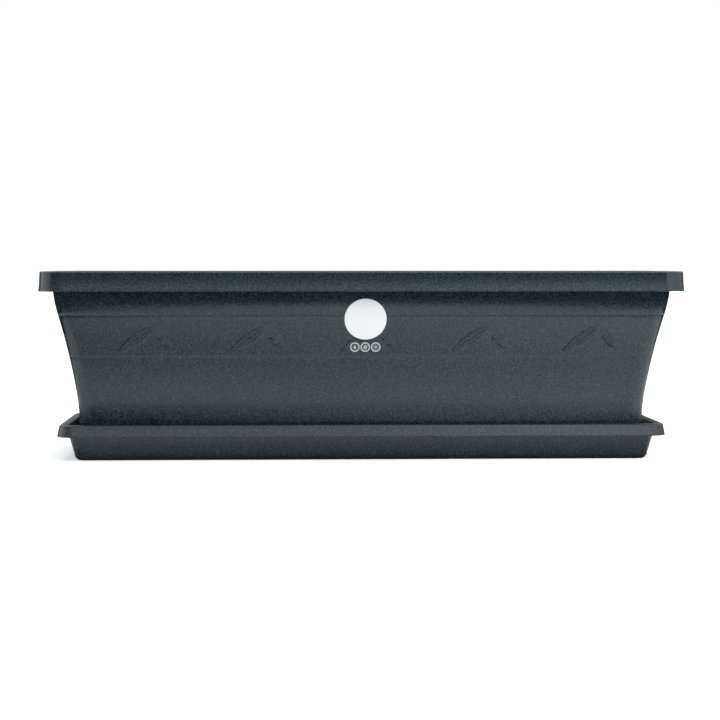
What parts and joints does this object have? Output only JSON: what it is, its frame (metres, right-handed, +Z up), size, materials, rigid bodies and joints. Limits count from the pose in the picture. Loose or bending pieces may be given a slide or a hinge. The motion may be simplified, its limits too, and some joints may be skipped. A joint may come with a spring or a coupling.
{
  "type": "windowsill planter",
  "caption": "Long tapering plant trough with a turned-down rim and drain holes, standing in a shallow drip tray that it lifts out of.",
  "frame": {"origin": "on the ground, in the middle of the underside of the drip tray", "axes": "+X along the planter's length to the right of its front, +Y from the front to the back, +Z up"},
  "size_m": [0.6, 0.2, 0.1763],
  "materials": {
    "tray_plastic": "fine-grained matt slate grey moulded plastic",
    "trough_plastic": "fine-grained matt slate grey moulded plastic",
    "label_film": "satin white sticker film",
    "mark_film": "light grey printed film"
  },
  "bodies": {
    "tray": {"drip_tray": "tray_plastic"},
    "trough": {"trough": "trough_plastic", "front_label": "label_film", "water_mark": "mark_film", "leaf_mark": "mark_film", "sun_mark": "mark_film"}
  },
  "joints": [
    {"name": "trough_lift", "type": "slide", "parent": "tray", "child": "trough", "axis": [0, 0, 1], "range_m": [0, 0.06]}
  ]
}
